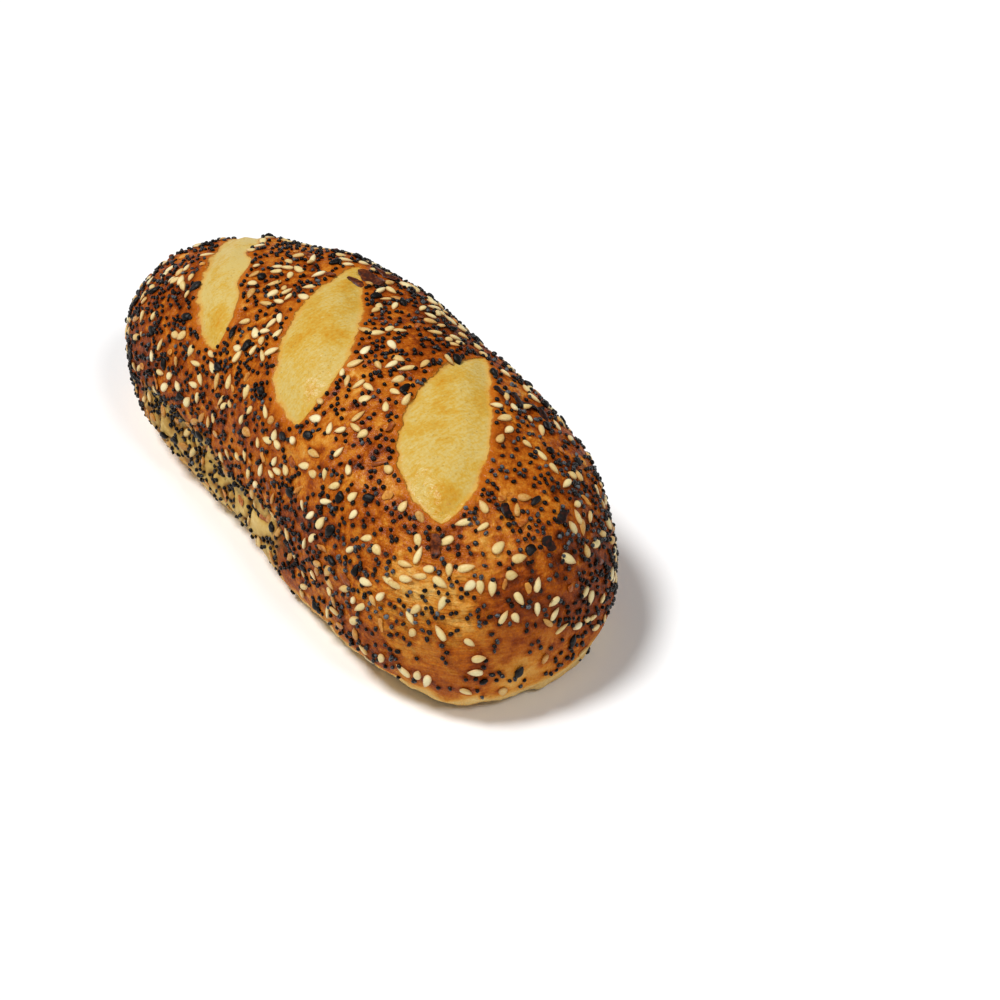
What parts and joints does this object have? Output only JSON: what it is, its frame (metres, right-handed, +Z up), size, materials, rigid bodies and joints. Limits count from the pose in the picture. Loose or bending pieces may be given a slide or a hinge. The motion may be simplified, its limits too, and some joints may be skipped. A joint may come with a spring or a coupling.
{
  "type": "sub roll",
  "caption": "Oblong seeded sub roll with a domed browned crust, diagonal slashes of pale dough and a flat base",
  "frame": {"origin": "middle of the roll's bounding box, on the plane of its flat base", "axes": "+X runs along the roll to its fuller end, +Y across it, +Z up through the slashed top"},
  "size_m": [0.1546, 0.0666, 0.0516],
  "materials": {
    "crust": "baked crust with a light egg-wash gloss"
  },
  "bodies": {
    "root": {"roll": "crust"}
  },
  "joints": []
}
